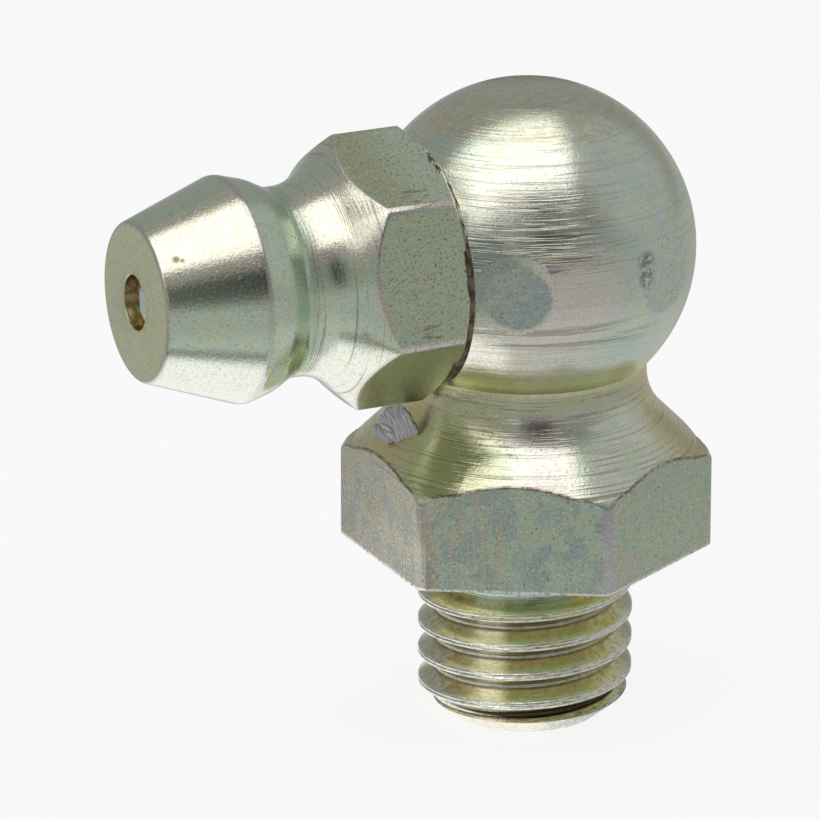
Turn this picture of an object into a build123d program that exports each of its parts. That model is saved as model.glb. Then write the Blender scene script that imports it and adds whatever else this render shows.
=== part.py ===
from build123d import *
import os
from math import cos, radians, sin, sqrt, tan

# 90-degree grease nipple. An elbow body with a ball top, turned from hexagon bar, carries a
# smaller nipple head that is pressed into the side of the ball. A steel ball on a coil spring
# closes the mouth of the head. Millimetres, +Z up along the thread, origin at the centre of
# the hexagon's underside, nipple head pointing along +X.

# Thread shank: a 1/4-28 thread, drawn at its crest
thread_r = 3.155
thread_length = 5.25
tip_chamfer = 0.92
tip_chamfer_angle = 40

# Hexagon of the elbow body
body_across_flats = 9.525
body_corner_round = 0.42

# Cone and neck above the hexagon
cone_edge_z = 3.24                 # where the cone meets the middle of each flat
cone_angle = 45                    # from the horizontal
neck_r = 3.5
neck_length = 1.13                 # straight part, before its foot is rounded
neck_round = 2.0

# Ball
ball_r = 4.89
ball_flat_r = 1.6

# Drillings in the elbow body
outlet_bore_r = 1.25
outlet_countersink = 0.25
drill_point_angle = 59             # half of the drill's 118-degree point

# Seat of the nipple head on the ball, with the lip of metal pushed up round it
head_drop = 0.08                   # the head's axis lies this far under the ball's centre
press_bore_r = 2.3
seat_depth = 0.03                  # faced into the ball
lip_gap = 0.02
lip_height = 0.12
lip_width = 0.35

# Nipple head: stub, shoulder and hexagon
stub_length = 2.7
stub_end_gap = 0.15                # left between the stub's end and the foot of its bore
stub_end_chamfer = 0.35
shoulder_r = 3.42
shoulder_chamfer_angle = 30
head_across_flats = 7.0
head_corner_round = 0.3
head_turn = 12                     # the hexagon sits turned about its own axis

# Nipple head: flare, waist, ridge and front cone
flare_end_from_seat = 3.145
flare_angle = 45
flare_round = 1.6
waist_r = 2.75
waist_end_from_face = 4.22
flank_middle_from_face = 3.58
flank_middle_r = 3.09
ridge_from_face = 2.79
ridge_r = 3.29
ridge_round = 0.25
head_length = 8.885                # from the seat on the ball to the face
face_r = 2.3
face_chamfer = 0.08

# Nipple head: mouth, seat of the check ball, chamber, rolled-in rim
mouth_r = 0.8
mouth_depth = 0.4
chamber_r = 1.33
seat_angle = 45
rim_thickness = 0.35
rim_hole_r = 0.95
rim_slope = 0.25

# Check ball and its spring
check_ball_r = 1.25
check_ball_clearance = 0.02
wire_r = 0.15
wire_sides = 6                     # the thin round wire is drawn with this many sides
spring_outer_r = 1.2
spring_turns = 6
spring_clearance = 0.02

# Worked out from the sizes above: elbow body
thread_tip_z = -thread_length
tip_chamfer_height = tip_chamfer * tan(radians(tip_chamfer_angle))
body_flat = body_across_flats / 2
blank_r = body_flat / cos(radians(30)) + 1
cone_rise = tan(radians(cone_angle))
neck_foot_z = cone_edge_z + (body_flat - neck_r) * cone_rise
ball_foot_z = neck_foot_z + neck_length
ball_z = ball_foot_z + sqrt(ball_r**2 - neck_r**2)
ball_flat_z = ball_z + sqrt(ball_r**2 - ball_flat_r**2)

# Worked out from the sizes above: the seat of the head, and the head along its own axis
head_z = ball_z - head_drop
head_axis = Axis((0, 0, head_z), (1, 0, 0))
head_plane = Plane(origin=(0, 0, head_z), x_dir=(1, 0, 0), z_dir=(0, -1, 0))
spot_face_r = shoulder_r + lip_gap
seat_x = sqrt(ball_r**2 - spot_face_r**2) - seat_depth
stub_end_x = seat_x - stub_length
bore_foot_x = stub_end_x - stub_end_gap
bore_point_x = bore_foot_x - press_bore_r / tan(radians(drill_point_angle))
shoulder_rise = tan(radians(shoulder_chamfer_angle))
lip_foot_x = seat_x - lip_width
lip_crest_r = spot_face_r + lip_height / shoulder_rise
head_flat = head_across_flats / 2
head_blank_r = head_flat / cos(radians(30)) + 0.5
shoulder_end_x = seat_x + (head_blank_r - shoulder_r) * shoulder_rise
flare_end_x = seat_x + flare_end_from_seat
flare_end_r = waist_r + flare_round * (1 - cos(radians(flare_angle)))
flare_start_x = flare_end_x - (head_blank_r - flare_end_r) / tan(radians(flare_angle))
waist_start_x = flare_end_x + flare_round * sin(radians(flare_angle))
face_x = seat_x + head_length
waist_end_x = face_x - waist_end_from_face
flank_middle_x = face_x - flank_middle_from_face
ridge_x = face_x - ridge_from_face

# Worked out from the sizes above: check ball and spring
seat_edge_x = face_x - mouth_depth
seat_foot_x = seat_edge_x - (chamber_r - mouth_r) / tan(radians(seat_angle))
check_ball_x = seat_edge_x + mouth_r / tan(radians(seat_angle)) \
    - check_ball_r / sin(radians(seat_angle)) - check_ball_clearance
coil_r = spring_outer_r - wire_r
coil_front_x = check_ball_x - sqrt((check_ball_r + wire_r + spring_clearance)**2 - coil_r**2)
coil_rear_x = stub_end_x + rim_thickness + wire_r + spring_clearance

os.makedirs("parts", exist_ok=True)

# Elbow body: turned from hexagon bar. The bar's flats stay on the hexagon, and as six small
# round spots on the ball's equator.
with BuildPart() as elbow_body:
    with BuildSketch(Plane.XZ) as body_section:
        with BuildLine():
            Polyline(
                (0, thread_tip_z),
                (thread_r - tip_chamfer, thread_tip_z),
                (thread_r, thread_tip_z + tip_chamfer_height),
                (thread_r, 0),
                (blank_r, 0),
                (blank_r, cone_edge_z + (body_flat - blank_r) * cone_rise),
            )
            FilletPolyline(
                (blank_r, cone_edge_z + (body_flat - blank_r) * cone_rise),
                (neck_r, neck_foot_z),
                (neck_r, ball_foot_z),
                radius=neck_round,
            )
            ThreePointArc((neck_r, ball_foot_z), (ball_r, ball_z), (ball_flat_r, ball_flat_z))
            Polyline((ball_flat_r, ball_flat_z), (0, ball_flat_z), (0, thread_tip_z))
        make_face()
    revolve(axis=Axis.Z)
    with BuildSketch(Plane.XY.offset(thread_tip_z)) as body_hexagon:
        RegularPolygon(radius=body_flat, side_count=6, major_radius=False, rotation=30)
        fillet(body_hexagon.vertices(), radius=body_corner_round)
    extrude(amount=ball_flat_z - thread_tip_z, mode=Mode.INTERSECT)

    # The lip of metal that pressing pushes up round the shoulder of the nipple head
    with BuildSketch(head_plane) as lip_section:
        with BuildLine():
            Polyline(
                (lip_foot_x, press_bore_r),
                (lip_foot_x, spot_face_r),
                (seat_x + lip_height, lip_crest_r),
                (seat_x, spot_face_r),
                (seat_x, press_bore_r),
                close=True,
            )
        make_face()
    revolve(axis=head_axis)

    # Press bore across the ball, drilled into the outlet bore that comes up through the thread
    with BuildSketch(head_plane) as press_bore_section:
        with BuildLine():
            Polyline(
                (bore_point_x, 0),
                (bore_foot_x, press_bore_r),
                (seat_x, press_bore_r),
                (seat_x, spot_face_r),
                (ball_r, spot_face_r + (ball_r - seat_x) / shoulder_rise),
                (ball_r, 0),
                close=True,
            )
        make_face()
    revolve(axis=head_axis, mode=Mode.SUBTRACT)
    with BuildSketch(Plane.XZ) as outlet_section:
        with BuildLine():
            Polyline(
                (0, thread_tip_z),
                (outlet_bore_r + outlet_countersink, thread_tip_z),
                (outlet_bore_r, thread_tip_z + outlet_countersink),
                (outlet_bore_r, head_z),
                (0, head_z + outlet_bore_r / tan(radians(drill_point_angle))),
                close=True,
            )
        make_face()
    revolve(axis=Axis.Z, mode=Mode.SUBTRACT)
elbow_body.part.label = "elbow_body"
export_step(elbow_body.part, "parts/elbow_body.step")

# Nipple head: turned from smaller hexagon bar, bored from behind, and pressed into the ball.
# Its rear rim is rolled in once the check ball and the spring are in the chamber.
with BuildPart() as nipple_head:
    with BuildSketch(head_plane) as head_section:
        with BuildLine():
            Polyline(
                (stub_end_x, rim_hole_r),
                (stub_end_x, press_bore_r - stub_end_chamfer),
                (stub_end_x + stub_end_chamfer, press_bore_r),
                (seat_x, press_bore_r),
                (seat_x, shoulder_r),
                (shoulder_end_x, head_blank_r),
                (flare_start_x, head_blank_r),
                (flare_end_x, flare_end_r),
            )
            RadiusArc((flare_end_x, flare_end_r), (waist_start_x, waist_r), -flare_round)
            Line((waist_start_x, waist_r), (waist_end_x, waist_r))
            ThreePointArc(
                (waist_end_x, waist_r),
                (flank_middle_x, flank_middle_r),
                (ridge_x, ridge_r),
            )
            Polyline(
                (ridge_x, ridge_r),
                (face_x - face_chamfer, face_r),
                (face_x, face_r - face_chamfer),
                (face_x, mouth_r),
                (seat_edge_x, mouth_r),
                (seat_foot_x, chamber_r),
                (stub_end_x + rim_thickness + rim_slope, chamber_r),
                (stub_end_x + rim_thickness, rim_hole_r),
                (stub_end_x, rim_hole_r),
            )
        make_face()
        fillet(head_section.vertices().sort_by_distance((ridge_x, ridge_r, 0))[0], radius=ridge_round)
    revolve(axis=head_axis)
    with BuildSketch(Plane.YZ.offset(stub_end_x)) as head_hexagon:
        with Locations((0, head_z)):
            RegularPolygon(radius=head_flat, side_count=6, major_radius=False, rotation=30 + head_turn)
        fillet(head_hexagon.vertices(), radius=head_corner_round)
    extrude(amount=face_x - stub_end_x, mode=Mode.INTERSECT)
nipple_head.part.label = "nipple_head"
export_step(nipple_head.part, "parts/nipple_head.step")

# Check ball: hardened steel, held against the seat behind the mouth by its spring
with BuildPart() as check_ball:
    with Locations((check_ball_x, 0, head_z)):
        Sphere(check_ball_r)
check_ball.part.label = "check_ball"
export_step(check_ball.part, "parts/check_ball.step")

# Spring: wound from round wire, between the check ball and the rolled-in rim
with BuildPart() as ball_spring:
    with BuildLine() as coil:
        Helix(
            pitch=(coil_front_x - coil_rear_x) / spring_turns,
            height=coil_front_x - coil_rear_x,
            radius=coil_r,
            center=(coil_rear_x, 0, head_z),
            direction=(1, 0, 0),
        )
    with BuildSketch(Plane(origin=coil.line @ 0, z_dir=coil.line % 0)):
        RegularPolygon(radius=wire_r, side_count=wire_sides)
    sweep(is_frenet=True)
ball_spring.part.label = "ball_spring"
export_step(ball_spring.part, "parts/ball_spring.step")
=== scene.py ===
from math import acos, asin, cos, degrees, pi, radians, sin, tan

import bpy
from mathutils import Matrix, Vector


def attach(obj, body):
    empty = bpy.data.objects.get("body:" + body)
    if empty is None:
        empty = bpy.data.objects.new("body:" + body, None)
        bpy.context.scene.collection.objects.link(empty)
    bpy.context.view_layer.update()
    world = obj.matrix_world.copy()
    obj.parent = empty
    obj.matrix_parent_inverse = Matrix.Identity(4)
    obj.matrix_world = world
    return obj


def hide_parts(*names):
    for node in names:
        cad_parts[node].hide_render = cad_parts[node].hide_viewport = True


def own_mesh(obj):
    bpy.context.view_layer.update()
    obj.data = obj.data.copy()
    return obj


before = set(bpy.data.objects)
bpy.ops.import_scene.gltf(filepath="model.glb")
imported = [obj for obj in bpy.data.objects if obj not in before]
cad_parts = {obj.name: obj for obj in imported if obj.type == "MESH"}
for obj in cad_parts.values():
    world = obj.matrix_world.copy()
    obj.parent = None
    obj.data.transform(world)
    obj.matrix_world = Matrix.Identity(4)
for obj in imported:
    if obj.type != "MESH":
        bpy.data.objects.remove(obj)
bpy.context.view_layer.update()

# ---------------------------------------------------------------------------------------------
# Elbow body
# Steel, turned from 3/8 inch hexagon bar with a rolled 1/4-28 thread below and a ball on top,
# then zinc plated and chromated. All pieces are drawn in millimetres and brought to metres.
# ---------------------------------------------------------------------------------------------
MM = 0.001

thread_crest_r = 3.155
thread_root_r = 2.655
thread_pitch = 0.907
thread_crest_z = -2.447            # height of one crest on the +X side
thread_tip_z = -5.25
thread_turns = 8
thread_start_z = thread_crest_z - thread_pitch * 4.5    # a root, under the tip
tip_chamfer = 0.92
tip_chamfer_angle = 40
shank_blank_r = thread_crest_r + 0.001
shank_top_z = -0.3
runout_foot_z = -1.5
runout_top_z = -0.38
collar_r = thread_crest_r + 0.012  # plain, between the thread's run-out and the hexagon

body_flat = 9.525 / 2
body_blank_r = 6.5
body_corner_round = 0.42
body_edge_break = 0.045
rim_r = 5.05                       # the cone ends here, on the nearly flat tops of the corners
rim_z = 2.95
rim_fall = 0.3
corner_top_r = 5.27                # outside this the tops of the corners are rounded off
corner_top_z = rim_z - (corner_top_r - rim_r) * rim_fall
corner_drop = 1.5
neck_r = 3.5
neck_foot_z = 4.5025
neck_round = 2.0
ball_r = 4.89
ball_foot_z = 5.6325
ball_z = 9.047
ball_flat_r = 1.6
ball_flat_z = 13.668

head_z = 8.967
seat_x = 3.445
spot_face_r = 3.44
spot_cutter_r = spot_face_r + 2.5
spot_cutter_rise = 1.44            # of the cutter's slope, outside the seat
spot_cutter_end_x = 7
press_bore_r = 2.3
press_bore_foot_x = 0.595
outlet_bore_r = 1.25
outlet_countersink = 0.25
drill_point = tan(radians(59))
overrun = 1                        # how far a cutter reaches outside the metal

lathe_steps = 240
thread_steps = 144


def drawn(name, points):
    """A line through the points (x, z), drawn in the XZ plane by pulling out one vertex."""
    bpy.ops.object.select_all(action="DESELECT")
    bpy.ops.mesh.primitive_plane_add(size=1, location=(0, 0, 0))
    piece = bpy.context.object
    piece.name = piece.data.name = name
    bpy.ops.object.mode_set(mode="EDIT")
    bpy.ops.mesh.merge(type="CENTER")
    here = Vector((0, 0, 0))
    for count, (x, z) in enumerate(points):
        there = Vector((x, 0, z))
        if count:
            bpy.ops.mesh.extrude_region_move(TRANSFORM_OT_translate={"value": there - here})
        else:
            bpy.ops.transform.translate(value=there - here)
        here = there
    bpy.ops.object.mode_set(mode="OBJECT")
    return piece


def select_only(piece):
    bpy.ops.object.select_all(action="DESELECT")
    bpy.context.view_layer.objects.active = piece
    piece.select_set(True)


def use(piece, kind, **settings):
    """Adds a modifier to a piece, and applies it."""
    select_only(piece)
    modifier = piece.modifiers.new(kind.title(), kind)
    for name, value in settings.items():
        setattr(modifier, name, value)
    bpy.ops.object.modifier_apply(modifier=modifier.name)


def edit(piece, *steps):
    """Runs edit-mode steps on a piece with all of it selected."""
    select_only(piece)
    bpy.ops.object.mode_set(mode="EDIT")
    bpy.ops.mesh.select_all(action="SELECT")
    for step in steps:
        step()
    bpy.ops.object.mode_set(mode="OBJECT")


def weld(gap=0.0002):
    bpy.ops.mesh.remove_doubles(threshold=gap)


def clear_short_edges(length):
    weld(length)
    bpy.ops.mesh.dissolve_degenerate(threshold=length)


def face_out():
    bpy.ops.mesh.normals_make_consistent(inside=False)


def arc(centre, radius, start, end, steps):
    """Points on an arc, from one angle in degrees to another."""
    angles = [radians(start + (end - start) * step / steps) for step in range(steps + 1)]
    return [(centre[0] + radius * cos(a), centre[1] + radius * sin(a)) for a in angles]


def eased(outline, steps=5):
    """An outline whose corners are rounded where a point has a third number, its round."""
    points = []
    for count, corner in enumerate(outline):
        if len(corner) == 2:
            points.append(corner)
            continue
        here = Vector(corner[:2])
        to_last = (Vector(outline[count - 1][:2]) - here).normalized()
        to_next = (Vector(outline[count + 1][:2]) - here).normalized()
        reach = corner[2] / tan(to_last.angle(to_next) / 2)
        first, last = here + to_last * reach, here + to_next * reach
        for step in range(steps + 1):
            s = step / steps
            points.append(tuple(first * (1 - s) ** 2 + here * 2 * s * (1 - s) + last * s ** 2))
    return points


def swept_round(piece, steps, **settings):
    """Sweeps a drawn line round Z into a skin."""
    use(piece, "SCREW", axis="Z", angle=2 * pi, steps=steps, render_steps=steps, **settings)


def turned(name, outline, steps=lathe_steps):
    """A solid turned round Z from its outline of (radius, height)."""
    piece = drawn(name, eased(outline))
    swept_round(piece, steps, use_merge_vertices=True, merge_threshold=0.0002)
    edit(piece, weld, face_out)
    return piece


def lay_along_x(piece, height):
    """Turns a piece that stands on Z to lie along X, with its axis at a height."""
    select_only(piece)
    piece.matrix_world = Matrix.Translation((0, 0, height)) @ Matrix.Rotation(pi / 2, 4, "Y")
    bpy.ops.object.transform_apply(location=True, rotation=True, scale=False)
    return piece


def combine(piece, tool, operation):
    """Joins, cuts or trims a piece by a tool, which is then put away."""
    use(piece, "BOOLEAN", object=tool, operation=operation, solver="EXACT")
    bpy.data.objects.remove(tool)


def break_edges(piece, width):
    """Takes the sharpness off the edges, as tumbling in the plating barrel does."""
    edit(piece, lambda: clear_short_edges(0.02))
    use(piece, "BEVEL", width=width, segments=2, limit_method="ANGLE", angle_limit=radians(25))
    edit(piece, lambda: clear_short_edges(0.004), face_out)


def to_metres(piece):
    """Brings a piece to metres, with its curves smooth and its flats flat to the light."""
    select_only(piece)
    piece.scale = (MM, MM, MM)
    bpy.ops.object.transform_apply(location=False, rotation=False, scale=True)
    bpy.ops.object.shade_smooth_by_angle(angle=radians(28))
    use(piece, "WEIGHTED_NORMAL", keep_sharp=True)


def hexagon_bar(name, flat, corner_round, foot, top):
    """Hexagon bar along Z with rounded corners, its flats square to X and every 60 degrees on."""
    bpy.ops.object.select_all(action="DESELECT")
    bpy.ops.mesh.primitive_cylinder_add(vertices=6, radius=flat / cos(pi / 6), depth=top - foot,
                                        location=(0, 0, (foot + top) / 2))
    piece = bpy.context.object
    piece.name = piece.data.name = name
    bpy.ops.object.transform_apply(location=True, rotation=False, scale=False)
    bpy.ops.object.mode_set(mode="EDIT")
    bpy.ops.mesh.select_all(action="DESELECT")
    bpy.ops.object.mode_set(mode="OBJECT")
    for edge in piece.data.edges:
        foot_point, top_point = (piece.data.vertices[v].co for v in edge.vertices)
        edge.select = abs(foot_point.z - top_point.z) > 1
    bpy.ops.object.mode_set(mode="EDIT")
    bpy.ops.mesh.select_mode(type="EDGE")
    bpy.ops.mesh.bevel(offset=corner_round * tan(pi / 6), segments=6, affect="EDGES")
    bpy.ops.mesh.select_mode(type="VERT")
    bpy.ops.object.mode_set(mode="OBJECT")
    return piece


neck_round_centre = (neck_r + neck_round, neck_foot_z + neck_round * tan(radians(22.5)))
ball_foot_angle = degrees(asin((ball_foot_z - ball_z) / ball_r))
ball_top_angle = degrees(acos(ball_flat_r / ball_r))
elbow_body = turned("elbow_body_plated", [
    (0, runout_foot_z),
    (thread_root_r - 0.05, runout_foot_z),
    (collar_r, runout_top_z, 0.1),
    (collar_r, 0),
    (body_blank_r, 0),
    (body_blank_r, corner_top_z - (body_blank_r - corner_top_r) * corner_drop),
    (corner_top_r, corner_top_z, 0.3),
    (rim_r, rim_z, 0.25),
    *arc(neck_round_centre, neck_round, 225, 180, 12),
    *arc((0, ball_z), ball_r, ball_foot_angle, ball_top_angle, 60),
    (0, ball_flat_z),
])
combine(elbow_body, hexagon_bar("bar", body_flat, body_corner_round, foot=-3, top=15), "INTERSECT")
break_edges(elbow_body, body_edge_break)

# Half of one turn's outline, from the middle of the root to the shallow seam on the crest
half_thread = [
    (thread_root_r, 0),
    (thread_root_r + 0.01, 0.05),
    (thread_root_r + 0.05, 0.085),
    (thread_crest_r - 0.045, 0.330),
    (thread_crest_r - 0.014, 0.358),
    (thread_crest_r, 0.390),
    (thread_crest_r - 0.004, 0.420),
    (thread_crest_r - 0.028, thread_pitch / 2),
]
other_half = [(x, thread_pitch - z) for x, z in reversed(half_thread[:-1])]
shank = drawn("shank", [(x, thread_start_z + z) for x, z in half_thread + other_half])
swept_round(shank, thread_steps, screw_offset=thread_pitch, iterations=thread_turns,
            use_merge_vertices=True, merge_threshold=0.0002)


def cap_ends():
    weld()
    bpy.ops.mesh.select_mode(type="EDGE")
    bpy.ops.mesh.select_all(action="DESELECT")
    bpy.ops.mesh.select_non_manifold()
    bpy.ops.mesh.extrude_edges_move()
    bpy.ops.mesh.merge(type="COLLAPSE")
    bpy.ops.mesh.select_mode(type="VERT")
    bpy.ops.mesh.select_all(action="SELECT")
    face_out()


edit(shank, cap_ends)
tip_chamfer_slope = tan(radians(tip_chamfer_angle))
combine(shank, turned("shank_blank", [
    (0, thread_tip_z),
    (thread_crest_r - tip_chamfer, thread_tip_z, 0.12),
    (shank_blank_r, thread_tip_z + tip_chamfer * tip_chamfer_slope),
    (shank_blank_r, shank_top_z),
    (0, shank_top_z),
]), "INTERSECT")
combine(elbow_body, shank, "UNION")

combine(elbow_body, lay_along_x(turned("press_bore", [
    (0, press_bore_foot_x - press_bore_r / drill_point),
    (press_bore_r, press_bore_foot_x),
    (press_bore_r, seat_x),
    (spot_face_r, seat_x),
    (spot_cutter_r, seat_x + spot_cutter_rise),
    (spot_cutter_r, spot_cutter_end_x),
    (0, spot_cutter_end_x),
]), head_z), "DIFFERENCE")
combine(elbow_body, turned("outlet_bore", [
    (0, thread_tip_z - overrun),
    (outlet_bore_r + outlet_countersink + overrun, thread_tip_z - overrun),
    (outlet_bore_r, thread_tip_z + outlet_countersink),
    (outlet_bore_r, head_z),
    (0, head_z + outlet_bore_r / drill_point),
]), "DIFFERENCE")
to_metres(elbow_body)
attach(elbow_body, "fitting")
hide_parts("elbow_body")


class Sum:
    """A number that nodes work out, over a surface or round the room. Arithmetic on it adds Math
    nodes."""

    def __init__(self, nodes, socket):
        self.nodes = nodes
        self.socket = socket

    def math(self, operation, *values):
        return self.nodes.node("ShaderNodeMath", {"operation": operation}, dict(enumerate(values)))

    def __add__(self, other):
        return self.math("ADD", self, other)

    def __radd__(self, other):
        return self.math("ADD", other, self)

    def __sub__(self, other):
        return self.math("SUBTRACT", self, other)

    def __rsub__(self, other):
        return self.math("SUBTRACT", other, self)

    def __mul__(self, other):
        return self.math("MULTIPLY", self, other)

    def __truediv__(self, other):
        return self.math("DIVIDE", self, other)

    def __pow__(self, other):
        return self.math("POWER", self, other)

    def __abs__(self):
        return self.math("ABSOLUTE", self)

    def least(self, other):
        return self.math("MINIMUM", self, other)

    def most(self, other):
        return self.math("MAXIMUM", self, other)

    def rise(self, low, high):
        """0 below low, 1 above high and smooth between; with low above high it falls instead."""
        return self.nodes.node("ShaderNodeMapRange", {"interpolation_type": "SMOOTHSTEP"},
                               {"Value": self, "From Min": low, "From Max": high})

    def band(self, middle, half_width, softness):
        """1 within half_width of a middle value and 0 outside it."""
        return abs(self - middle).rise(half_width + softness, half_width)


class Nodes:
    """The nodes of a material or of the room."""

    def __init__(self, tree):
        self.tree = tree

    def node(self, kind, settings, inputs, output=0):
        """Adds a node: its settings first, then the values or links of its sockets."""
        made = self.tree.nodes.new(kind)
        for name, value in settings.items():
            setattr(made, name, value)
        for name, value in inputs.items():
            if isinstance(value, Sum):
                self.tree.links.new(value.socket, made.inputs[name])
            else:
                made.inputs[name].default_value = value
        return Sum(self, made.outputs[output])

    def feed(self, value, node, socket):
        self.tree.links.new(value.socket, self.tree.nodes[node].inputs[socket])


class Finish(Nodes):
    """A material. Its x, y and z are the place on the object in millimetres."""

    def __init__(self, name, metallic=1.0):
        self.material = bpy.data.materials.new(name)
        self.material.use_nodes = True
        super().__init__(self.material.node_tree)
        self.shader = self.tree.nodes["Principled BSDF"]
        self.shader.inputs["Metallic"].default_value = metallic
        metres = self.node("ShaderNodeTexCoord", {}, {}, "Object")
        self.place = self.node("ShaderNodeMapping", {}, {"Vector": metres, "Scale": (1000, 1000, 1000)})
        self.x, self.y, self.z = (
            self.node("ShaderNodeSeparateXYZ", {}, {0: self.place}, output) for output in range(3))

    def at(self, x, y, z):
        return self.node("ShaderNodeCombineXYZ", {}, {0: x, 1: y, 2: z})

    def noise(self, place, scale=1.0, detail=2.0, roughness=0.5):
        """Soft random patches, mostly from 0.3 to 0.7."""
        return self.node("ShaderNodeTexNoise", {},
                         {"Vector": place, "Scale": scale, "Detail": detail, "Roughness": roughness})

    def near(self, point, reach, softness, raggedness=0.0):
        """1 within reach of a point and 0 further off; a ragged edge comes from the patches."""
        gap = self.node("ShaderNodeVectorMath", {"operation": "DISTANCE"}, {0: self.place, 1: point}, 1)
        if raggedness:
            gap = gap + (self.patches - 0.5) * raggedness
        return gap.rise(reach + softness, reach)

    def mix(self, amount, first, second):
        """Goes from the first colour to the second."""
        first, second = (value if isinstance(value, Sum) else (*value, 1) for value in (first, second))
        return self.node("ShaderNodeMix", {"data_type": "RGBA"}, {0: amount, 6: first, 7: second}, 2)

    def coated(self, colour, *coats):
        """A colour with others laid over it in turn, each with the amount of it that shows."""
        for amount, coat in coats:
            colour = self.mix(amount, colour, coat)
        return colour

    def look(self, colour, roughness, height):
        """Sets what varies over the surface: colour, roughness, and height in millimetres as bumps."""
        self.feed(colour, "Principled BSDF", "Base Color")
        self.feed(roughness, "Principled BSDF", "Roughness")
        bumps = self.node("ShaderNodeBump", {}, {"Height": height, "Distance": MM})
        self.feed(bumps, "Principled BSDF", "Normal")


silver = (0.90, 0.91, 0.79)
grey_green = (0.74, 0.86, 0.68)
olive = (0.72, 0.72, 0.42)
highlight_cream = (0.93, 0.90, 0.79)
blue_grey = (0.64, 0.78, 0.76)
rose = (0.86, 0.80, 0.74)
straw = (0.90, 0.86, 0.54)
ochre = (0.72, 0.62, 0.34)
umber = (0.20, 0.15, 0.10)
mauve = (0.58, 0.54, 0.58)

body = Finish("zinc plating, elbow body")
x, y, z = body.x, body.y, body.z
rho = (x * x + y * y) ** 0.5
out_x, out_y = x / rho, y / rho


def facing(azimuth):
    """Cosine of the angle round the axis between a point and an azimuth in degrees."""
    return out_x * cos(radians(azimuth)) + out_y * sin(radians(azimuth))


def hexagon_measures(u, v, flat_azimuth):
    """How far a point is from the axis, measured square to the nearest flat, and how far it is
    to the side of the nearest corner."""
    spread = [abs(u * cos(radians(azimuth)) + v * sin(radians(azimuth)))
              for azimuth in (flat_azimuth, flat_azimuth + 60, flat_azimuth + 120)]
    return spread[0].most(spread[1]).most(spread[2]), spread[0].least(spread[1]).least(spread[2])


body.patches = body.noise(body.place, 1.3, 4, 0.6)
small_patches = body.noise(body.at(x + 11, y, z), 4.5, 3, 0.6)
clouds = body.noise(body.at(x, y, z + 77), 0.8, 3, 0.55)
grain = body.noise(body.place, 13.0, 3, 0.7)
pits = body.noise(body.at(x, y + 23, z), 12.0, 1)
glints = body.noise(body.at(x, y, z + 57), 14.0, 1)
sand = body.noise(body.at(x + 41, y, z), 10.0, 2, 0.7)

hexagon_reach, corner_gap = hexagon_measures(x, y, 0)
on_flat = hexagon_reach.rise(body_flat - 0.03, body_flat - 0.012)
above = z.rise(5.4, 5.7)
rim_gap = z - rim_z - ((rim_r - rho) * rim_fall).most(rim_r - rho)
on_hexagon = rim_gap.rise(-0.01, -0.04) * hexagon_reach.rise(4.66, 4.70) * z.rise(0.005, 0.02)
on_thread = z.rise(0.0, -0.02)
on_ball = above * (1 - on_flat)
on_cone = (1 - above) * (1 - on_hexagon) * z.rise(0.05, 0.1)
on_arc = abs(rim_gap + 0.01).rise(0.05, 0.02) * hexagon_reach.rise(4.70, 4.73)
on_top = z.rise(13.25, 13.5)

# Turned rings: fine tool marks all over, with deeper lines on the ball's shoulder and the cone
fine_rings = body.noise(body.at(rho * 16 + out_y * 0.9, z * 16, out_x * 0.9), 1.0, 3, 0.75)
coarse_rings = body.noise(body.at(rho * 12 + out_y, z * 12, out_x + 9), 1.0, 2, 0.6)
shoulder = z.rise(9.55, 9.85) * (z.rise(11.9, 10.7) * 0.75 + 0.25) * z.rise(13.5, 12.8)
shoulder = shoulder * (0.15 + facing(58).rise(0.55, 0.88) * 0.85)
low_band = z.band(7.7, 0.2, 0.35) * facing(75).rise(0.7, 0.95)
ball_rings = (shoulder + low_band * 0.7) * on_ball * 0.86
cone_rings = on_cone * (0.12 + body.patches.rise(0.42, 0.58) * 0.4)
# Painted highlight: fewer dark rings on the cone where the lamp's highlight falls
ring_depth = 0.14 + ball_rings + cone_rings * (1 - facing(72).rise(0.96, 0.99) * 0.7)
ring_lines = coarse_rings.rise(0.53, 0.62) * ring_depth
thin_lines = fine_rings.rise(0.58, 0.66) * ring_depth

# Draw lines of the bar's surface, along the flats
draw_lines = body.noise(body.at(x * 11, y * 11, z * 0.4), 1.0, 3, 0.65)
scored = on_hexagon * facing(43).rise(0.955, 0.985)

# Ball: pale green to yellow with tinted clouds, cream patches that are painted highlights, a darker
# blue-green patch, a small dark scuff, and the duller round spot that is left of one of the bar's
# flats
ball_colour = body.coated(
    body.mix(body.patches.rise(0.40, 0.60), (0.68, 0.81, 0.70), (0.80, 0.83, 0.64)),
    # Painted highlights: cream where the lamp's light falls, high on the ball and low by its foot
    (body.near((1.6, 3.6, 12.0), 1.1, 1.4, 2.0) * 0.7, highlight_cream),
    (body.near((2.0, 3.3, 6.6), 1.4, 1.4, 2.0) * 0.8, highlight_cream),
    (body.near((3.1, 3.6, 9.6), 0.8, 0.8, 1.0) * 0.85, (0.36, 0.45, 0.41)),
    (facing(140).rise(0.2, 0.8) * small_patches.rise(0.40, 0.58) * 0.6, blue_grey),
    (facing(178).rise(0.6, 0.9) * small_patches.rise(0.46, 0.58) * 0.7, straw),
    (body.near((0.9, 4.6, 8.9), 0.9, 1.0, 2.0) * 0.8, rose),
    (z.rise(12.6, 13.2) * small_patches.rise(0.42, 0.58) * 0.7, (0.72, 0.66, 0.44)),
    (z.rise(6.6, 6.1), olive),
)
upper_scuff = body.near((-1.62, 4.60, 9.62), 0.18, 0.25, 0.5)
lower_scuff = body.near((-1.58, 4.63, 9.18), 0.2, 0.25, 0.5)
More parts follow.
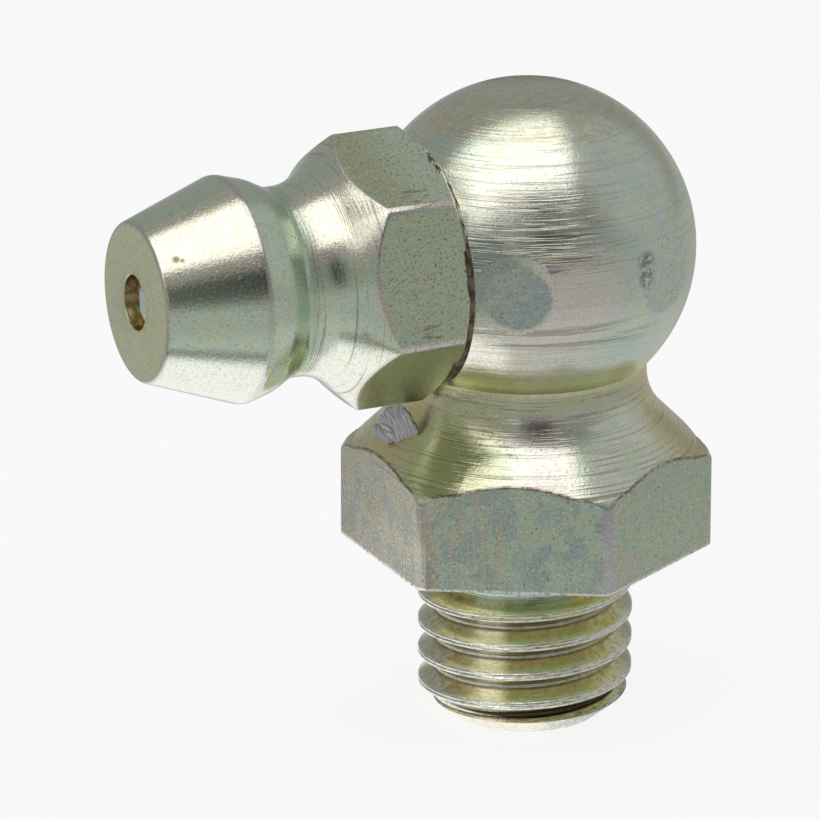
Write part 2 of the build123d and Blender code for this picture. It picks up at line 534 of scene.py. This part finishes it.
scuffed = upper_scuff.most(lower_scuff) * small_patches.rise(0.42, 0.49)
spot_middle = body.near((2.30, 4.16, 8.93), 0.88, 0.10, 0.3)
spot_colour = body.mix(small_patches.rise(0.4, 0.62), (0.46, 0.57, 0.58), (0.58, 0.66, 0.54))

# Cone: silver and green, with yellow stains at both sides, in wavy lines where the bath dried
stain = body.noise(body.at(x, y, z + 31), 0.9, 2) * 14
stain_line = stain.math("FRACT", stain).band(0.5, 0.10, 0.12)
stained = facing(155).rise(0.82, 0.95).most(facing(-22).rise(0.75, 0.92))
cone_colour = body.coated(
    body.mix(body.patches.rise(0.42, 0.6), grey_green, silver),
    # Painted highlight: a rose tint on the cone where the lamp's highlight falls
    (facing(72).rise(0.97, 0.995) * 0.8, rose),
    (facing(25).rise(0.80, 0.95) * 0.8, olive),
    # Painted shade: darker at the top of the cone, under the ball
    (z.rise(4.7, 5.3) * 0.85, (0.56, 0.60, 0.38)),
    (stained * (0.55 + stain_line * 0.4), (0.78, 0.68, 0.30)),
)

# Flats of the hexagon: each took the chromate in its own way
dull_straw = (0.62, 0.58, 0.38)
dull_blue = (0.36, 0.43, 0.42)
dull_rose = (0.56, 0.52, 0.46)
left_face = body.coated(
    body.mix(small_patches.rise(0.40, 0.58) * 0.5, (0.47, 0.47, 0.38), dull_straw),
    (clouds.rise(0.46, 0.58) * 0.6, (0.60, 0.58, 0.48)),
    (body.patches.rise(0.48, 0.60) * 0.7, dull_blue),
    # The left face is lighter towards the top and darker towards the bottom
    (z.rise(1.5, 2.9) * 0.35, (0.80, 0.80, 0.66)),
    (z.rise(1.3, 0.2) * 0.45, (0.26, 0.26, 0.22)),
)
middle_face = body.coated(
    body.mix(body.patches.rise(0.46, 0.56), (0.54, 0.66, 0.51), (0.40, 0.53, 0.50)),
    (clouds.rise(0.50, 0.60) * 0.7, (0.43, 0.59, 0.55)),
    (small_patches.rise(0.50, 0.64) * 0.45, dull_straw),
    (scored * draw_lines.rise(0.50, 0.57) * 0.8, (0.62, 0.58, 0.44)),
)
right_face = body.coated(
    body.mix(small_patches.rise(0.42, 0.62) * 0.5, (0.46, 0.59, 0.47), dull_straw),
    (body.patches.rise(0.52, 0.62) * 0.5, dull_rose),
)
near_right_corner = facing(91).rise(0.9975, 0.9998)
flats_colour = body.coated(
    middle_face,
    (facing(28).rise(0.99, 1.0).most(facing(0).rise(0.84, 0.88)), left_face),
    (facing(120).rise(0.85, 0.88), right_face),
    (near_right_corner * (0.25 + small_patches.rise(0.44, 0.54) * 0.5), mauve),
    (corner_gap.rise(0.24, 0.10) * 0.25, mauve),
)

# Thread: yellow and green down the flanks, dark in the roots, silver on the crests
crest = rho.rise(3.08, 3.12)
turn_angle = y.math("ARCTAN2", y, x)
helix_z = z - turn_angle * (thread_pitch / (2 * pi))
crest_marks = body.noise(body.at(out_x * 9, out_y * 9, helix_z * 34), 1.0, 3, 0.7)
root_colour = body.mix(crest_marks.rise(0.40, 0.62), (0.20, 0.17, 0.13), (0.44, 0.40, 0.38))
crest_colour = body.mix(crest_marks.rise(0.38, 0.52), (0.50, 0.50, 0.42), silver)
tip_colour = body.mix(crest_marks.rise(0.40, 0.56), (0.24, 0.24, 0.18), grey_green)
chamfer_gap = abs(z - thread_tip_z - (rho - thread_crest_r + tip_chamfer) * tip_chamfer_slope)
on_chamfer = (chamfer_gap.rise(0.03, 0.015) * z.rise(-4.4, -4.5)).most(z.rise(-4.62, -4.66))
chamfer_colour = body.coated(
    body.mix(small_patches.rise(0.4, 0.6), (0.96, 0.94, 0.86), (0.94, 0.89, 0.68)),
    (crest_marks.rise(0.52, 0.62) * 0.35, (0.40, 0.36, 0.28)),
    (z.rise(-4.80, -4.60) * grain.rise(0.40, 0.56) * 0.8, (0.34, 0.34, 0.26)),
    (facing(105).rise(0.80, 0.97) * small_patches.rise(0.36, 0.50) * 0.75, (0.46, 0.52, 0.45)),
)
on_collar = z.rise(-1.12, -1.02) * (1 - crest).most(z.rise(-0.5, -0.4))
collar_colour = body.coated(
    body.mix(small_patches.rise(0.4, 0.6), olive, straw),
    (facing(62).rise(0.80, 0.95), (0.70, 0.84, 0.76)),
)
thread_colour = body.coated(
    body.mix(small_patches.rise(0.42, 0.6), (0.64, 0.57, 0.30), (0.62, 0.66, 0.40)),
    (rho.rise(2.95, 3.08) * 0.6, (0.62, 0.80, 0.62)),
    # Painted highlight and shade: a cream band down the flanks where the lamp's light falls, and a
    # darker band beside it
    (facing(38).rise(0.955, 0.99) * 0.9, (0.96, 0.93, 0.74)),
    (facing(22).rise(0.975, 0.99) * 0.5, (0.42, 0.36, 0.18)),
    (facing(-5).rise(0.85, 0.95) * small_patches.rise(0.45, 0.6) * 0.6, rose),
    (facing(128).rise(0.88, 0.96) * small_patches.rise(0.40, 0.55) * 0.7, straw),
    (rho.rise(2.76, 2.69) * 0.7, root_colour),
    (crest, crest_colour),
    # Painted shadow: near black in the last root, above the tip's chamfer
    (rho.rise(2.76, 2.70) * z.rise(-4.28, -4.36), (0.05, 0.04, 0.02)),
    (z.rise(-4.52, -4.60) * rho.rise(2.70, 2.80), tip_colour),
    (on_chamfer, chamfer_colour),
    (on_collar, collar_colour),
)

pitted = pits.rise(0.64, 0.73) * (0.3 + on_flat * 0.7)
colour = body.coated(
    ball_colour,
    (on_cone, cone_colour),
    (spot_middle, spot_colour),
    (scuffed * 0.85, (0.24, 0.25, 0.23)),
    ((ring_lines * 0.6).most(thin_lines * 0.5), umber),
    (on_hexagon, flats_colour),
    (on_thread, thread_colour),
    (on_arc * (0.45 + small_patches.rise(0.42, 0.56) * 0.4), (0.22, 0.17, 0.15)),
    (z.band(0.02, 0.03, 0.06) * on_hexagon * small_patches.rise(0.36, 0.46), (0.97, 0.96, 0.90)),
    (sand.rise(0.50, 0.62) * (1 - on_thread) * 0.18, ochre),
    (pitted * (0.6 + on_thread), umber),
    (grain.rise(0.50, 0.70) * (0.20 + on_flat * 0.20), umber),
    (glints.rise(0.63, 0.71) * (1 - on_thread) * (0.45 + on_flat * 0.15), silver),
)
roughness = (0.09 + small_patches * 0.12 - on_thread * 0.04 + on_hexagon * 0.10
             + spot_middle * 0.16 + on_top * 0.06)
bumps = (fine_rings * ring_depth * 0.012 - ring_lines * 0.012 + grain * (0.005 + on_flat * 0.004)
         - pitted * 0.006 + draw_lines * (on_hexagon * 0.005 + scored * 0.024))
body.look(colour, roughness, bumps)
elbow_body.data.materials.append(body.material)

# ---------------------------------------------------------------------------------------------
# Nipple head
# Steel, turned from smaller hexagon bar, bored through and pressed into the side of the ball.
# Plated before it was pressed in; its hexagon sits a little turned about its own axis.
# ---------------------------------------------------------------------------------------------
head_flat = 3.5
head_blank_r = 4.5414
head_corner_round = 0.3
head_corner_angle = 42             # of one corner, from +Y towards +Z
head_edge_break = 0.04
stub_end_x = 0.745
stub_end_chamfer = 0.35
shoulder_r = 3.42
shoulder_slope = tan(radians(30))
flare_end_x = 6.59
flare_round = 1.6
waist_r = 2.75
waist_end_x = 8.11
flank_middle_x = 8.75
flank_middle_r = 3.09
ridge_x = 9.54
ridge_r = 3.31
face_x = 12.33
face_r = 2.31
mouth_r = 0.8
mouth_burr = 0.02                  # the mouth's edge stands this far above the face
seat_edge_x = 11.93
chamber_r = 1.33
rear_rim_r = 0.95                  # of the hole in the rolled-in rim
rear_rim_thickness = 0.35
rear_rim_slope = 0.25

flare_end_r = waist_r + flare_round * (1 - cos(radians(45)))
flare_centre = (waist_r + flare_round, flare_end_x + flare_round * sin(radians(45)))
nipple_head = turned("nipple_head_plated", [
    (0, stub_end_x),
    (press_bore_r - stub_end_chamfer, stub_end_x),
    (press_bore_r, stub_end_x + stub_end_chamfer),
    (press_bore_r, seat_x),
    (shoulder_r, seat_x),
    (head_blank_r, seat_x + (head_blank_r - shoulder_r) * shoulder_slope),
    (head_blank_r, flare_end_x - (head_blank_r - flare_end_r)),
    *arc(flare_centre, flare_round, 225, 180, 10),
    (waist_r, waist_end_x, 0.5),
    (flank_middle_r, flank_middle_x, 1.2),
    (ridge_r, ridge_x, 0.4),
    (face_r, face_x, 0.16),
    (mouth_r + 0.12, face_x),
    (mouth_r + 0.06, face_x + mouth_burr),
    (0, face_x + mouth_burr),
])
head_bar = hexagon_bar("head_bar", head_flat, head_corner_round, foot=-1, top=14)
head_bar.matrix_world = Matrix.Rotation(radians(head_corner_angle), 4, "Z")
combine(nipple_head, head_bar, "INTERSECT")
break_edges(nipple_head, head_edge_break)
combine(nipple_head, turned("bore", [
    (0, face_x + overrun),
    (mouth_r + overrun, face_x + overrun),
    (mouth_r, face_x),
    (mouth_r, seat_edge_x),
    (chamber_r, seat_edge_x - (chamber_r - mouth_r)),
    (chamber_r, stub_end_x + rear_rim_thickness + rear_rim_slope),
    (rear_rim_r, stub_end_x + rear_rim_thickness),
    (rear_rim_r, stub_end_x - overrun),
    (0, stub_end_x - overrun),
]), "DIFFERENCE")
lay_along_x(nipple_head, head_z)
to_metres(nipple_head)
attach(nipple_head, "fitting")
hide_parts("nipple_head")

gold = (0.74, 0.70, 0.38)

# From here on, facing() goes round the head's own axis, from +Y towards +Z
head = Finish("zinc plating, nipple head")
along = head.x
across = head.y
upward = head.z - head_z
rho = (across * across + upward * upward) ** 0.5
out_x, out_y = across / rho, upward / rho

head.patches = head.noise(head.place, 1.4, 4, 0.6)
small_patches = head.noise(head.at(along + 11, across, upward), 5.0, 3, 0.6)
grain = head.noise(head.place, 13.0, 3, 0.7)
specks = head.noise(head.at(along, across + 23, upward), 13.0, 1)
glints = head.noise(head.at(along, across, upward + 57), 14.0, 1)
sand = head.noise(head.at(along + 41, across, upward), 10.0, 2, 0.7)
fine_rings = head.noise(head.at(rho * 9 + out_y * 0.5, along * 9, out_x * 0.5), 1.0, 3, 0.7)
scratches = head.noise(head.at(along * 1.5, across * 9, upward * 9), 1.0, 2, 0.6).rise(0.52, 0.58)

hexagon_reach, corner_gap = hexagon_measures(across, upward, head_corner_angle - 30)
on_flat = hexagon_reach.rise(head_flat - 0.03, head_flat - 0.012)
on_face = along.rise(face_x - 0.08, face_x - 0.03)
on_front = along.rise(ridge_x - 0.1, ridge_x + 0.1)
on_flare = along.rise(8.2, 7.6) * (1 - on_flat)
on_bore = rho.rise(1.4, chamber_r) * along.rise(face_x - 0.01, face_x - 0.03)
# Painted highlights are laid only on the front cone and the flare
highlight_rounds = on_front.most(on_flare) * 0.85
ring_depth = 0.04 + on_flare * 1.2 + (1 - on_front) * 0.15

# Edges: worn pale round the hexagon and dull at the face's rim and along the ridge
edge_gap = abs(along + rho - (flare_end_x + flare_end_r))
worn_arcs = edge_gap.rise(0.12, 0.05) * hexagon_reach.rise(3.42, 3.46)
worn = (corner_gap.rise(0.16, 0.06) * hexagon_reach.rise(3.40, 3.46)).most(worn_arcs)
rim = rho.band(face_r - 0.04, 0.04, 0.06) * along.rise(face_x - 0.2, face_x - 0.1)
ridge_line = along.band(ridge_x + 0.02, 0.05, 0.10) * (1 - on_flat)

# Marks: two scratched places on the hexagon, and a speck of rust with its tail on the front
upper_scratch = head.near((4.7, 2.6, 11.85), 0.35, 0.3)
lower_scratch = head.near((4.8, 3.75, 8.1), 0.2, 0.2)
scratched = upper_scratch.most(lower_scratch) * scratches
rust = head.near((11.81, 1.76, 10.68), 0.06, 0.10).most(head.near((11.66, 1.86, 10.66), 0.03, 0.08))

face_colour = head.coated(
    head.mix(small_patches.rise(0.38, 0.60), (0.72, 0.85, 0.62), (0.84, 0.85, 0.52)),
    (rho.rise(1.25, 0.85) * small_patches.rise(0.40, 0.56) * 0.7, gold),
)
flats_colour = head.coated(
    head.mix(head.patches.rise(0.42, 0.6), (0.70, 0.86, 0.66), (0.76, 0.83, 0.58)),
    (facing(72).rise(0.85, 0.88), head.mix(along.rise(5.6, 4.0), (0.62, 0.70, 0.46), grey_green)),
    (facing(-48).rise(0.85, 0.88), (0.46, 0.52, 0.34)),
    (specks.rise(0.60, 0.70) * 0.45, umber),
)
bore_colour = head.mix(small_patches.rise(0.4, 0.6), (0.62, 0.48, 0.20), (0.34, 0.24, 0.10))
pitted = specks.rise(0.64, 0.73) * (0.3 + on_flat * 0.7)
colour = head.coated(
    head.mix(head.patches.rise(0.44, 0.62), (0.70, 0.86, 0.70), (0.76, 0.84, 0.62)),
    # Painted highlight: cream with orange mottles where the lamp's light falls on the front cone and
    # flare
    (facing(52).rise(0.86, 0.94) * highlight_rounds,
     head.mix(small_patches.rise(0.44, 0.60), highlight_cream, (0.95, 0.88, 0.66))),
    # Painted highlight: silver-white low on the front cone and flare
    (facing(-50).rise(0.82, 0.92) * highlight_rounds, (0.92, 0.95, 0.86)),
    # Painted shade: darker green in the waist
    (along.band(8.3, 0.2, 0.5) * (1 - on_front) * 0.8, (0.56, 0.74, 0.56)),
    (on_face, face_colour),
    (on_flat, flats_colour),
    (sand.rise(0.50, 0.60) * 0.20, ochre),
    (rim.most(ridge_line) * 0.45, mauve),
    (worn * 0.8, (0.78, 0.72, 0.68)),
    (scratched * 0.6, (0.22, 0.20, 0.17)),
    (rust * 0.85, (0.20, 0.12, 0.09)),
    (pitted * 0.5, umber),
    (fine_rings.rise(0.55, 0.66) * ring_depth * 0.4, umber),
    (grain.rise(0.50, 0.68) * (0.34 + on_flat * 0.10), umber),
    (on_bore, bore_colour),
    (glints.rise(0.63, 0.71) * (1 - on_bore) * 0.5, silver),
)
roughness = 0.07 + small_patches * 0.10 + on_flat * 0.10 + on_face * 0.16 + on_bore * 0.2
bumps = fine_rings * ring_depth * 0.009 + grain * (0.005 + on_flat * 0.005) - pitted * 0.006
head.look(colour, roughness, bumps)
nipple_head.data.materials.append(head.material)

# ---------------------------------------------------------------------------------------------
# Press lip
# Raw, torn steel of the ball, pushed up round the shoulder of the head when it was pressed in.
# It cracked the plating, so it is dark, ragged and thin, with bright slivers.
# ---------------------------------------------------------------------------------------------
press_lip = turned("press_lip", [
    (spot_face_r - 0.06, seat_x - 0.35),
    (spot_face_r - 0.01, seat_x - 0.04),
    (spot_face_r + 0.07, seat_x + 0.12),
    (spot_face_r + 0.13, seat_x + 0.11),
    (spot_face_r + 0.10, seat_x - 0.03),
    (spot_face_r + 0.12, seat_x - 0.20),
    (spot_face_r - 0.06, seat_x - 0.35),
], steps=130)


def tear_crest():
    bpy.ops.mesh.select_all(action="DESELECT")
    bpy.ops.object.mode_set(mode="OBJECT")
    for vertex in press_lip.data.vertices:
        vertex.select = vertex.co.z > seat_x + 0.02
    bpy.ops.object.mode_set(mode="EDIT")
    bpy.ops.transform.vertex_random(offset=0.06, uniform=0.4, normal=0.3, seed=5)


edit(press_lip, tear_crest)
lay_along_x(press_lip, head_z)
to_metres(press_lip)
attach(press_lip, "fitting")

torn = Finish("torn steel, press lip")
torn.patches = torn.noise(torn.place, 3.0, 4, 0.6)
slivers = torn.noise(torn.at(torn.x * 12, torn.y * 2.5, torn.z * 2.5), 1.0, 3, 0.6)
colour = torn.coated(
    torn.mix(torn.patches.rise(0.4, 0.6), (0.12, 0.09, 0.07), (0.30, 0.26, 0.22)),
    (slivers.rise(0.48, 0.54) * torn.z.rise(9.8, 11.2), (0.92, 0.91, 0.86)),
)
bumps = slivers * 0.03 + torn.noise(torn.place, 12.0, 3, 0.7) * 0.02
torn.look(colour, 0.35 + torn.patches * 0.3, bumps)
press_lip.data.materials.append(torn.material)

# ---------------------------------------------------------------------------------------------
# Steel flake
# A fan-shaped chip of raw steel, sheared off the ball in pressing. It stands on the cone, under
# the hexagon of the head, and is scored with lines.
# ---------------------------------------------------------------------------------------------
sideways = Vector((-0.9057, 0.4240, 0))        # level, across the view
forward = Vector((0.4240, 0.9057, 0))          # level, towards the camera
flake_place = sideways * -3.8 + forward * 2.01
flake_thickness = 0.07

flake = drawn("flake", [
    (-0.30, 3.60), (-0.66, 3.66), (-0.76, 3.86), (-0.73, 4.05), (-0.57, 4.12), (-0.53, 4.36),
    (-0.42, 4.52), (-0.28, 4.68), (-0.04, 4.78), (0.16, 4.83), (0.30, 4.74), (0.46, 4.64),
    (0.60, 4.42), (0.74, 4.24), (0.79, 4.10), (0.70, 3.99), (0.40, 3.84), (0.12, 3.72),
    (-0.12, 3.62), (-0.30, 3.60),
])


def fill_and_crumple():
    weld()
    bpy.ops.mesh.edge_face_add()
    bpy.ops.mesh.quads_convert_to_tris()
    bpy.ops.mesh.subdivide(number_cuts=3)
    bpy.ops.mesh.beautify_fill()
    bpy.ops.transform.vertex_random(offset=0.035, uniform=0.0, normal=0.0, seed=9)
    face_out()


edit(flake, fill_and_crumple)
use(flake, "SOLIDIFY", thickness=flake_thickness, offset=0)
upright = Vector((0, 0, 1))
flake_side = (sideways + forward * 0.6).normalized()
axes = Matrix((flake_side, upright.cross(flake_side), upright)).transposed().to_4x4()
flake.matrix_world = Matrix.Translation(flake_place) @ axes
select_only(flake)
bpy.ops.object.transform_apply(location=True, rotation=True, scale=False)
edit(flake, weld, face_out)
to_metres(flake)
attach(flake, "fitting")

raw = Finish("raw steel, flake")
raw_aside = raw.x * sideways.x + raw.y * sideways.y
scores = raw.noise(raw.at(raw_aside * 14 + raw.z * 5, raw.z * 1.6, 0.0), 1.0, 3, 0.65)
colour = raw.mix(scores.rise(0.4, 0.6), (0.44, 0.44, 0.45), (0.64, 0.64, 0.65))
raw.look(colour, 0.38 + scores * 0.2, scores * 0.05)
flake.data.materials.append(raw.material)

# ---------------------------------------------------------------------------------------------
# Check ball and its spring
# A hardened, polished steel ball that a coil spring of round wire holds against the seat
# behind the mouth. The spring stands on the rolled-in rim of the head.
# ---------------------------------------------------------------------------------------------
wire_r = 0.15
wire_sides = 14
coil_r = 1.05
coil_front_x = 9.987
coil_rear_x = 1.265
coil_turns = 6
coil_steps = 40

bpy.ops.object.select_all(action="DESELECT")
bpy.ops.mesh.primitive_circle_add(vertices=wire_sides, radius=wire_r, rotation=(pi / 2, 0, 0),
                                  location=(coil_r, 0, coil_rear_x))
ball_spring = bpy.context.object
ball_spring.name = ball_spring.data.name = "ball_spring_wire"
bpy.ops.object.transform_apply(location=True, rotation=True, scale=True)
swept_round(ball_spring, coil_steps, iterations=coil_turns,
            screw_offset=(coil_front_x - coil_rear_x) / coil_turns)
edit(ball_spring, cap_ends)
lay_along_x(ball_spring, head_z)
to_metres(ball_spring)
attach(ball_spring, "fitting")
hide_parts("ball_spring")
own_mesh(ball_spring)

wire = Finish("drawn spring wire")
drawn_streaks = wire.noise(wire.place, 6.0, 3)
colour = wire.mix(drawn_streaks.rise(0.4, 0.6), (0.42, 0.42, 0.43), (0.60, 0.58, 0.55))
wire.look(colour, 0.25 + drawn_streaks * 0.2, wire.noise(wire.place, 30.0, 2) * 0.002)
ball_spring.data.materials.append(wire.material)

polished = Finish("polished ball steel")
haze = polished.noise(polished.place, 3.0, 3)
colour = polished.mix(haze.rise(0.4, 0.6), (0.80, 0.86, 0.88), (0.72, 0.79, 0.82))
polished.look(colour, 0.10 + haze * 0.12, polished.noise(polished.place, 12.0, 2) * 0.0006)
check_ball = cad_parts["check_ball"]
check_ball.data.materials.clear()
check_ball.data.materials.append(polished.material)

# ---------------------------------------------------------------------------------------------
# Floor, lamps and camera
# A floor that is white to the camera and glows in the metal with painted light and shadow, one large
# soft box overhead and a smaller one in front on the left, in a grey room that is darker where the
# camera stands.
# ---------------------------------------------------------------------------------------------
camera_azimuth = radians(154.9128)
camera_elevation = radians(19.1333)
camera_roll = radians(0.0821)
camera_distance = 211.66
aim_aside = -3.3908
aim_height = 3.9536
picture_width = 820
lens_length = 7252.6               # in the same unit as the picture's width
sensor_width = 36
floor_z = thread_tip_z - 0.02      # just clear of the thread's tip

right = Vector((cos(camera_azimuth), sin(camera_azimuth), 0))
back = Vector((sin(camera_azimuth) * cos(camera_elevation),
               -cos(camera_azimuth) * cos(camera_elevation), sin(camera_elevation)))
up = back.cross(right)
front = Vector((back.x, back.y, 0)).normalized()
camera_right = right * cos(camera_roll) + up * sin(camera_roll)
camera_up = up * cos(camera_roll) - right * sin(camera_roll)
aim = right * aim_aside + upright * aim_height

bpy.ops.object.camera_add()
camera = bpy.context.object
camera.data.sensor_width = sensor_width
camera.data.lens = sensor_width * lens_length / picture_width
camera.data.clip_start = 0.01
camera.data.clip_end = 5
turn = Matrix((camera_right, camera_up, back)).transposed().to_4x4()
camera.matrix_world = Matrix.Translation((aim + back * camera_distance) * MM) @ turn
bpy.context.scene.camera = camera

bpy.ops.object.select_all(action="DESELECT")
bpy.ops.mesh.primitive_plane_add(size=1.2, location=(0, 0, floor_z * MM))
floor = bpy.context.object
floor.name = "floor"

# To the camera the floor is white, with enough of its paint left to hold a shadow. In the metal
# it glows in a painted pattern: pale, brighter round the object and in a painted pool of light
# on the left and behind, with a painted shadow as a darker strip ahead on the left.
paint = Finish("floor paint", 0.0)
paint.shader.inputs["Base Color"].default_value = (0.95, 0.95, 0.95, 1)
paint.shader.inputs["Roughness"].default_value = 0.9
ahead = paint.x * front.x + paint.y * front.y
aside = paint.x * right.x + paint.y * right.y
light_pool_gap = ((ahead - 1) * (ahead - 1) + (aside + 9) * (aside + 9)) ** 0.5
# Painted light: the floor glows brighter here in the metal
light_pool = light_pool_gap.rise(21, 9) * aside.rise(-0.5, -4).most(ahead.rise(5.0, 4.0) * aside.rise(6, 0))
shade = ahead.band(15.5, 1.0, 1.8) * aside.rise(-2, -5)
round_about = (ahead * ahead + aside * aside) ** 0.5
mirrored = (0.42 + round_about.rise(40, 16) * 0.12).most(light_pool) - shade * 0.35
camera_ray = paint.node("ShaderNodeLightPath", {}, {}, "Is Camera Ray")
glossy_ray = paint.node("ShaderNodeLightPath", {}, {}, "Is Glossy Ray")
strength = mirrored.most(camera_ray)
glow = paint.node("ShaderNodeEmission", {}, {"Color": (1, 1, 1, 1), "Strength": strength})
shown = paint.node("ShaderNodeMixShader", {}, {
    0: (camera_ray * 0.87).most(glossy_ray), 1: Sum(paint, paint.shader.outputs[0]), 2: glow})
paint.feed(shown, "Material Output", "Surface")
floor.data.materials.append(paint.material)

object_middle = upright * 8


def soft_box(name, place, size, brightness, edge, tilted=False):
    """A soft box: an oblong lamp, placed in millimetres across the view, towards the camera and
    above the object's middle, its width lying along an edge. It faces down, or the object if
    tilted. At brightness 1 it is as bright as the white floor."""
    bpy.ops.object.light_add(type="AREA")
    light = bpy.context.object
    light.name = light.data.name = name
    width, depth = size
    light.data.shape = "RECTANGLE"
    light.data.size = width * MM
    light.data.size_y = depth * MM
    light.data.energy = brightness * pi * width * depth * MM * MM
    offset = right * place[0] + front * place[1] + upright * place[2]
    normal = offset.normalized() if tilted else upright
    side = (edge - normal * edge.dot(normal)).normalized()
    axes = Matrix((side, normal.cross(side), normal)).transposed().to_4x4()
    light.matrix_world = Matrix.Translation((offset + object_middle) * MM) @ axes
    light.visible_camera = False


soft_box("overhead_box", place=(-70, 84, 300), size=(420, 344), brightness=1.04,
         edge=right - front * 0.33)
soft_box("side_box", place=(-250, 210, 220), size=(190, 150), brightness=0.62, edge=right,
         tilted=True)

world = bpy.data.worlds.new("studio")
bpy.context.scene.world = world
world.use_nodes = True
room = Nodes(world.node_tree)
direction = room.node("ShaderNodeTexCoord", {}, {}, "Generated")


def towards(vector):
    """Cosine of the angle between a direction in the room and a vector."""
    return room.node("ShaderNodeVectorMath", {"operation": "DOT_PRODUCT"},
                     {0: direction, 1: vector.normalized()}, "Value")


camera_stand = towards(front + right * 0.16 + upright * 0.36).rise(0.945, 0.985)
dim_corner = towards(front + right * 0.7 + upright * 0.8).rise(0.85, 0.97)
bright_wall = towards(right * 0.9 - front * 0.2 + upright * 0.6).rise(0.70, 0.9)
brightness = 0.31 - camera_stand * 0.20 - dim_corner * 0.08 + bright_wall * 0.12
room.feed(brightness, "Background", "Strength")
room.tree.nodes["Background"].inputs["Color"].default_value = (1, 1, 1, 1)
bpy.context.scene.view_settings.view_transform = "Standard"
